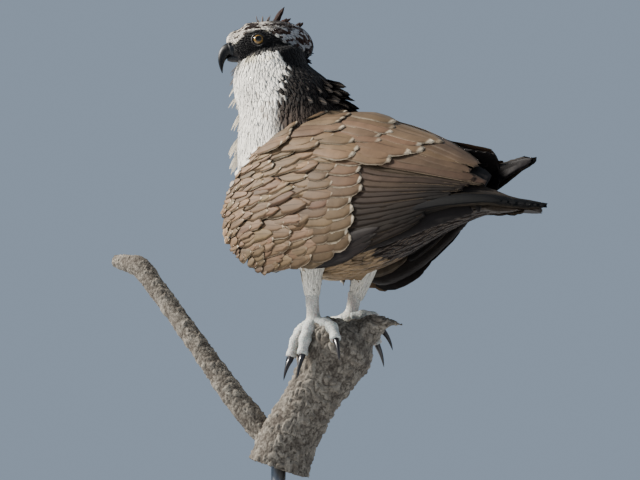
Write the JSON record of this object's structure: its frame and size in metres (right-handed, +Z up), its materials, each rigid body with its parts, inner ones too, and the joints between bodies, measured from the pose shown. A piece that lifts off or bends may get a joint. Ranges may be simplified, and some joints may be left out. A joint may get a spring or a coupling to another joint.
{
  "type": "osprey figure on a branch",
  "caption": "Life-size still figure of a young osprey gripping the broken end of a dead branch, held by a rod on a flat display base.",
  "frame": {"origin": "middle of the display base's underside, on the floor", "axes": "+Z up, the bird's body faces -X and its left side is towards -Y; its head is turned 35 degrees to its left"},
  "size_m": [0.6166, 0.27, 0.785],
  "materials": {
    "plumage_head": "matte feathers, dark brown and white",
    "plumage_pale": "soft matte white feathers",
    "plumage_brown": "matte brown feathers with pale edges",
    "plumage_dark": "dark brown flight feathers, slight sheen",
    "bill": "polished horn, near black",
    "claw": "polished horn, black",
    "eye": "wet, dull amber iris with a black pupil",
    "foot_skin": "scaly pale grey skin",
    "branch": "weathered bark, ridged and matte",
    "stand_base": "black satin paint",
    "stand_rod": "brushed"
  },
  "bodies": {
    "root": {"head": "plumage_head", "bill_upper": "bill", "bill_lower": "bill", "eye_left": "eye", "eye_right": "eye", "neck": "plumage_pale", "torso": "plumage_pale", "tail": "plumage_dark", "wing_left_coverts": "plumage_brown", "wing_left_secondaries": "plumage_brown", "wing_left_primaries": "plumage_dark", "thigh_left": "plumage_pale", "tarsus_left": "foot_skin", "toe_left_1": "foot_skin", "claw_left_1": "claw", "toe_left_2": "foot_skin", "claw_left_2": "claw", "toe_left_3": "foot_skin", "claw_left_3": "claw", "toe_left_4": "foot_skin", "claw_left_4": "claw", "wing_right_coverts": "plumage_brown", "wing_right_secondaries": "plumage_brown", "wing_right_primaries": "plumage_dark", "thigh_right": "plumage_pale", "tarsus_right": "foot_skin", "toe_right_1": "foot_skin", "claw_right_1": "claw", "toe_right_2": "foot_skin", "claw_right_2": "claw", "toe_right_3": "foot_skin", "claw_right_3": "claw", "toe_right_4": "foot_skin", "claw_right_4": "claw", "perch_main": "branch", "perch_side": "branch", "stand_base": "stand_base", "stand_rod": "stand_rod", "stand_collar": "stand_rod"}
  },
  "joints": []
}
